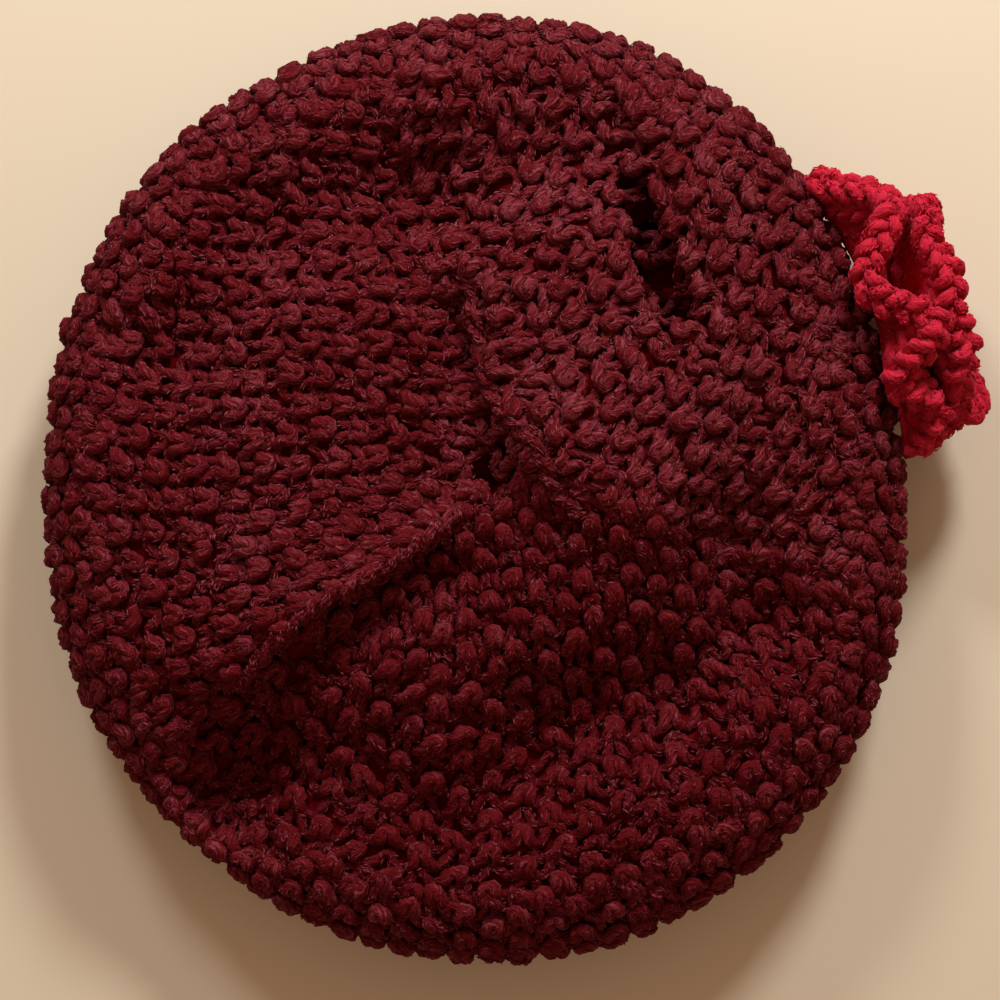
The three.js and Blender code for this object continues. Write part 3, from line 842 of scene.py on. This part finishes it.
flower = {
    "angle": 24, "faces": 18.5, "tilt": 9, "height": 30, "tall": 0.66, "hub": 9, "wall": 8, "hubStep": 0.3,
    "yarnRadius": 1.9, "yarnLead": 15, "sides": 8, "plies": 4, "middle": 0.5, "roundPoints": 421,
    # stitches by their step from the hub to the edge: posts, a chain near the edge, and the plaited edge
    "post": {"steps": (0.2, 0.92, 24), "wind": 1.5, "lead": 10.5, "looseTone": 0.04, "taper": 4,
             "fibres": 16},
    "chain": {"step": 0.78, "wind": 2.4, "lead": 14, "tone": 0.02, "strands": 3, "fibres": 420},
    "edge": {"step": 0.95, "outward": 2.2, "deep": 3.2, "lead": 17, "looseTone": 0.03, "strands": 3,
             "fibres": 520},
    "ground": {"around": 144, "steps": (0.97, 0.02, 16), "depths": (0.82, 0.04)},
    # petals by direction, length and half width; ruffles of the edge by direction and how far forward
    "back": {
        "notch": 36, "seat": 0.3, "cup": 1.5, "twist": 9, "posts": 60,
        "petals": [(14, 44, 34), (68, 42, 34), (122, 40, 32), (172, 44, 32), (226, 41, 34), (280, 40, 34),
                   (326, 40, 30)],
        "ruffles": [(16, -8), (49, 12), (84, -3.5), (109, 13), (130, -4.5), (153, 5), (176, -5), (205, 8),
                    (234, 7), (262, 10), (290, 8), (318, 10)],
    },
    "front": {
        "notch": 23, "seat": 8.6, "cup": 0.65, "twist": 6, "posts": 46,
        "petals": [(0, 26, 34), (48, 30, 34), (98, 33, 34), (146, 36, 34), (190, 40, 34), (240, 32, 36),
                   (292, 29, 36), (332, 25, 30)],
        "ruffles": [(15, 8), (42, 12), (62, 9.5), (90, 12), (108, 9), (124, 10.5), (150, 4.5), (176, 2),
                    (205, 8), (240, 6), (270, 10), (300, 7), (330, 10)],
    },
}


def flowerAxes():
    # seat on the roll, and directions along, up and forward
    faces, tilt, angle = (math.radians(flower[key]) for key in ("faces", "tilt", "angle"))
    level = np.array([math.cos(faces), math.sin(faces), 0])
    upright = np.array([0, 0, 1])
    forward = level * math.cos(tilt) + upright * math.sin(tilt)
    up = upright * math.cos(tilt) - level * math.sin(tilt)
    along = np.array([-math.sin(faces), math.cos(faces), 0])
    rollUp = sectionLine[rollRow:rollRow + crown["sectionSteps"] + 1]
    reach = np.interp(flower["height"], rollUp[:, 1], rollUp[:, 0]) / crown["meanReach"]
    reach *= outlineReach(np.array([angle]))[0]
    seat = np.array([reach * math.cos(angle), reach * math.sin(angle), flower["height"]])
    return seat, along, up, forward


flowerSeat, flowerAlong, flowerUp, flowerForward = flowerAxes()


def ruffleForward(ruffles, angle):
    # smooth waves through the rows of a ruffle table
    rows = [(ruffles[-1][0] - 360, ruffles[-1][1]), *ruffles, (ruffles[0][0] + 360, ruffles[0][1])]
    turned = (np.degrees(angle) - rows[0][0]) % 360 + rows[0][0]
    forward = np.zeros_like(turned)
    for (before, low), (after, high) in zip(rows, rows[1:]):
        here = (turned >= before) & (turned <= after)
        share = 0.5 - 0.5 * np.cos(np.clip((turned - before) / (after - before), 0, 1) * math.pi)
        forward = np.where(here, low + (high - low) * share, forward)
    return forward


def petalPoint(petalRound, angle, step, through):
    # through goes from 0 on the back to 1 on the front of the petals
    length = np.full_like(angle, petalRound["notch"])
    for direction, reach, spread in petalRound["petals"]:
        apart = angle - math.radians(direction)
        apart = np.abs(np.arctan2(np.sin(apart), np.cos(apart)))
        share = np.cos(np.minimum(1, apart / math.radians(spread)) * math.pi / 2)
        petal = petalRound["notch"] + (reach - petalRound["notch"]) * np.sqrt(np.maximum(share, 0))
        length = np.maximum(length, petal)
    opened = np.maximum(0, (step - flower["hubStep"]) / (1 - flower["hubStep"]))
    reach = flower["hub"] * np.minimum(1, step / flower["hubStep"]) + (length - flower["hub"]) * opened
    leaned = angle + math.radians(petalRound["twist"]) * (opened ** 2 - 1)
    along, up = reach * np.cos(leaned), reach * np.sin(leaned) * flower["tall"]
    lift = opened ** petalRound["cup"] * ruffleForward(petalRound["ruffles"], angle)
    ahead = petalRound["seat"] + lift + through * flower["wall"]
    return (flowerSeat + along[..., None] * flowerAlong + up[..., None] * flowerUp
            + ahead[..., None] * flowerForward)


def petalFrame(petalRound, angle, step):
    # point, facing and outward direction in the middle of the petals' thickness
    def point(turned, further):
        return petalPoint(petalRound, angle + turned, step + further, flower["middle"])
    little = 0.01
    sideways = point(little, 0) - point(-little, 0)
    outward = point(0, little) - point(0, -little)
    return point(0, 0), unit(np.cross(outward, sideways)), unit(outward)


def crochetRound(name, node):
    petalRound, radius = flower[name], flower["yarnRadius"]
    bundle, loose = newBundle(), []
    # posts from the middle to the edge, each two strands wound together
    post = flower["post"]
    step = np.linspace(*post["steps"])
    for stitch in range(petalRound["posts"]):
        angle = fullTurn * (stitch + 0.5) / petalRound["posts"]
        point, out, _ = petalFrame(petalRound, np.full_like(step, angle), step)
        tone = draw.normal(0, post["looseTone"])
        woundStrands(bundle, point, out, post["wind"], post["lead"], tone, taper=post["taper"])
        for strand, facing in zip(bundle["points"][-2:], (out, -out)):
            addFibres(loose, strand[1:-1], facing, radius, post["fibres"])
    # a round of chained loops, then the edge plaited of three strands
    chain, edge = flower["chain"], flower["edge"]
    turn = np.linspace(-math.pi / 2, 1.5 * math.pi, flower["roundPoints"])
    point, out, _ = petalFrame(petalRound, turn, chain["step"])
    woundStrands(bundle, point, out, chain["wind"], chain["lead"], chain["tone"], chain["strands"])
    for strand in bundle["points"][-chain["strands"]:]:
        addFibres(loose, strand[1:-1], out, radius, chain["fibres"])
    point, out, outward = petalFrame(petalRound, turn, edge["step"])
    for strand in range(edge["strands"]):
        phase = lengths(point) * fullTurn / edge["lead"] + fullTurn * strand / edge["strands"]
        points = point + outward * (edge["outward"] * np.sin(2 * phase))[:, None]
        points = points + out * (edge["deep"] * np.sin(phase))[:, None]
        addPath(bundle, points, draw.normal(0, edge["looseTone"]))
        for facing in (out, outward):
            addFibres(loose, points, facing, radius, edge["fibres"])
    label = "flower" + name.capitalize()
    placePiece(fibrePiece(label + "Fibres", loose, redFibre), node)
    made = makeYarn(label + "Yarn", bundle, radius, flower["sides"], flower["yarnLead"], redYarn,
                    plies=flower["plies"])
    placePiece(made, node)
    grid = flower["ground"]
    angles, steps = np.meshgrid(roundSteps(grid["around"]), np.linspace(*grid["steps"]))
    sheets = [petalPoint(petalRound, angles, steps, depth) for depth in grid["depths"]]
    placePiece(shellPiece(label + "Core", sheets, redFuzz, True), node)


crochetRound("back", "flower_back_petals")
crochetRound("front", "flower_front_petals")


# floor, light and camera

room = {
    "floorHalf": 4, "floorColor": (0.68, 0.6, 0.455), "floorRough": 0.6,
    "fillColor": (1, 0.62, 0.42), "fillStrength": 0.4, "lampSize": 0.25, "lampColor": (1, 0.995, 0.99),
    # lamps: place, aim and power
    "lamps": {
        "lampLight": ((0.31, 0.96, 0.735), (0, -0.02, 0.03), 12.6),
        "windowLight": ((-0.384, 0.935, 0.735), (0, 0, 0.03), 6.4),
    },
}
photoView = {
    "elevation": 87, "distance": 0.78, "sensor": 36,
    "aim": (6.5, -3.8, 26), "halfWide": 0.1475,   # mm from the crown's middle, and half the picture in metres
}


def makeFloor():
    half = room["floorHalf"]
    mesh = bpy.data.meshes.new("floor")
    corners = [(-half, -half, 0), (half, -half, 0), (half, half, 0), (-half, half, 0)]
    mesh.from_pydata(corners, [], [(0, 1, 2, 3)])
    floor = newObject("floor", mesh)
    material, shader, _ = startMaterial("paleFloor")
    shader.inputs["Base Color"].default_value = (*room["floorColor"], 1)
    shader.inputs["Roughness"].default_value = room["floorRough"]
    mesh.materials.append(material)


def makeLamp(name, place, aim, power):
    data = bpy.data.lights.new(name, "AREA")
    data.shape, data.size, data.energy, data.color = "DISK", room["lampSize"], power, room["lampColor"]
    lamp = newObject(name, data)
    lamp.location = place
    lamp.rotation_mode = "QUATERNION"
    lamp.rotation_quaternion = (Vector(aim) - Vector(place)).to_track_quat("-Z", "Y")


def makeCamera():
    data = bpy.data.cameras.new("photoCamera")
    data.sensor_width = photoView["sensor"]
    data.lens = photoView["sensor"] / 2 * photoView["distance"] / photoView["halfWide"]
    data.clip_start = 0.01
    camera = newObject("photoCamera", data)
    elevation = math.radians(photoView["elevation"])
    back = Vector((0, -math.cos(elevation), math.sin(elevation)))
    camera.location = Vector((shift + photoView["aim"]) * mm) + back * photoView["distance"]
    camera.rotation_mode = "QUATERNION"
    camera.rotation_quaternion = (-back).to_track_quat("-Z", "Y")
    bpy.context.scene.camera = camera


makeFloor()
for name, (place, aim, power) in room["lamps"].items():
    makeLamp(name, place, aim, power)
world = bpy.data.worlds.new("softRoom")
world.use_nodes = True
fill = world.node_tree.nodes["Background"]
fill.inputs["Color"].default_value = (*room["fillColor"], 1)
fill.inputs["Strength"].default_value = room["fillStrength"]
bpy.context.scene.world = world
bpy.context.scene.view_settings.view_transform = "Standard"
makeCamera()
print("floor, light and camera made")
